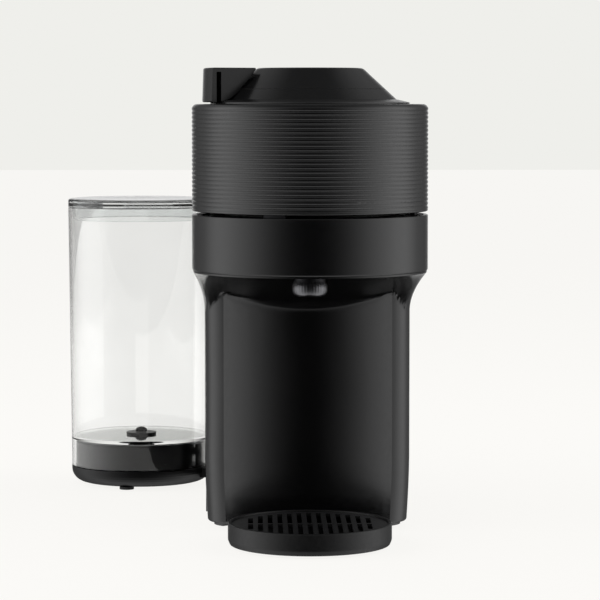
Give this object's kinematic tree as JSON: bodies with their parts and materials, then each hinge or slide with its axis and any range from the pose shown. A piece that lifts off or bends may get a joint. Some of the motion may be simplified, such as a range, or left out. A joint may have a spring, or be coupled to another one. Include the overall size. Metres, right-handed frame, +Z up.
{
  "type": "pod coffee machine",
  "caption": "Pod coffee machine with a round ribbed brew head on a flared column, a round cup platform, a lock lever, and a clear tank on a swinging base.",
  "frame": {"origin": "on the counter, under the middle of the coffee outlet, on the face of the rubber foot there", "axes": "+X to the machine's right seen from the front, -Y to the front, +Z up"},
  "size_m": [0.2347, 0.4112, 0.2887],
  "materials": {
    "shell_black": "fine satin texture, black",
    "grid_black": "satin black",
    "inner_grey": "plain moulded dark grey",
    "rubber_black": "soft matt black",
    "seal_grey": "silicone, dark grey",
    "outlet_metal": "smoked metal plating",
    "spin_grey": "dark grey, semi gloss",
    "steel": "turned steel",
    "frame_steel": "pressed steel, blackened",
    "motor_metal": "dark zinc",
    "cast_aluminium": "die cast",
    "hose_clear": "milky silicone",
    "board_green": "green circuit board",
    "light_white": "milky light guide",
    "white_plastic": "white moulded",
    "tank_clear": "clear moulded plastic",
    "lid_smoke": "smoke grey, see-through plastic"
  },
  "bodies": {
    "base": {"base_plate": "inner_grey", "rubber_feet": "rubber_black", "case_screws": "steel", "column_shell": "shell_black", "rear_housing": "shell_black", "container_shelf": "inner_grey", "rear_cover": "shell_black", "brew_ring": "shell_black", "brew_deck": "inner_grey", "deck_gasket": "seal_grey", "coffee_collector": "inner_grey", "coffee_outlet": "outlet_metal", "brew_frame": "frame_steel", "holder_bearing": "steel", "spin_motor": "motor_metal", "drive_belt": "rubber_black", "water_pump": "motor_metal", "pump_mounts": "rubber_black", "thermoblock": "cast_aluminium", "flow_meter": "white_plastic", "inlet_hose": "hose_clear", "suction_hose": "hose_clear", "pressure_hose": "hose_clear", "brew_hose": "hose_clear", "control_board": "board_green", "cord_gland": "rubber_black", "hinge_pin": "steel", "hinge_spring": "steel", "swivel_fitting": "inner_grey"},
    "holder": {"capsule_holder": "spin_grey"},
    "rotor": {"motor_pulley": "motor_metal"},
    "head": {"head_shell": "shell_black", "head_liner": "inner_grey", "dome_cap": "shell_black", "light_ring": "light_white", "code_reader": "board_green", "clamp_bearing": "steel", "water_swivel": "inner_grey", "head_hose": "hose_clear", "button_spring": "steel", "button_switch": "board_green"},
    "clamp": {"capsule_clamp": "spin_grey", "piercing_needle": "steel"},
    "lever": {"lock_lever": "shell_black", "lever_grip": "shell_black", "lock_ring": "frame_steel"},
    "button": {"start_button": "shell_black"},
    "tray": {"drip_tray": "shell_black"},
    "grid": {"drip_grid": "grid_black"},
    "container": {"capsule_container": "inner_grey", "container_lid": "shell_black"},
    "swing": {"tank_base": "shell_black", "swing_feet": "rubber_black", "socket_seal": "seal_grey"},
    "tank": {"water_tank": "tank_clear", "valve_seat": "inner_grey", "valve_spring": "steel", "lid_pin": "steel"},
    "tank_lid": {"tank_lid": "lid_smoke"},
    "valve": {"valve_plunger": "inner_grey"}
  },
  "joints": [
    {"name": "head_open", "type": "hinge", "parent": "base", "child": "head", "pos_m": [0, 0.078, 0.196], "axis": [1, 0, 0], "range_deg": [-60, 0]},
    {"name": "lever_turn", "type": "hinge", "parent": "head", "child": "lever", "pos_m": [0, 0, 0.27], "axis": [0, 0, 1], "range_deg": [0, 40]},
    {"name": "button_press", "type": "slide", "parent": "head", "child": "button", "axis": [0, 0, 1], "range_m": [-0.0015, 0], "stiffness_N_per_m": 400, "springref_m": 0.002},
    {"name": "holder_spin", "type": "hinge", "parent": "base", "child": "holder", "pos_m": [0, 0, 0.18], "axis": [0, 0, 1], "continuous": true},
    {"name": "motor_spin", "type": "hinge", "parent": "base", "child": "rotor", "pos_m": [0, 0.098, 0.17], "axis": [0, 0, 1], "continuous": true},
    {"name": "clamp_spin", "type": "hinge", "parent": "head", "child": "clamp", "pos_m": [0, 0, 0.21], "axis": [0, 0, 1], "continuous": true},
    {"name": "tray_lift", "type": "slide", "parent": "base", "child": "tray", "axis": [0, 0, 1], "range_m": [0, 0.03]},
    {"name": "grid_lift", "type": "slide", "parent": "tray", "child": "grid", "axis": [0, 0, 1], "range_m": [0, 0.03]},
    {"name": "container_lift", "type": "slide", "parent": "base", "child": "container", "axis": [0, 0, 1], "range_m": [0, 0.1]},
    {"name": "tank_swing", "type": "hinge", "parent": "base", "child": "swing", "pos_m": [-0.049, 0.266, 0.01], "axis": [0, 0, 1], "range_deg": [-124, 0]},
    {"name": "tank_lift", "type": "slide", "parent": "swing", "child": "tank", "axis": [0, 0, 1], "range_m": [0, 0.06]},
    {"name": "lid_open", "type": "hinge", "parent": "tank", "child": "tank_lid", "pos_m": [-0.11304, 0.33717, 0.1974], "axis": [-1, 0, 0], "range_deg": [0, 95]},
    {"name": "valve_rise", "type": "slide", "parent": "tank", "child": "valve", "axis": [0, 0, 1], "range_m": [0, 0.0025], "stiffness_N_per_m": 120, "springref_m": -0.002}
  ],
  "couplings": [
    {"joint": "motor_spin", "follows": "holder_spin", "ratio": 2.8333},
    {"joint": "clamp_spin", "follows": "holder_spin", "ratio": 1}
  ]
}
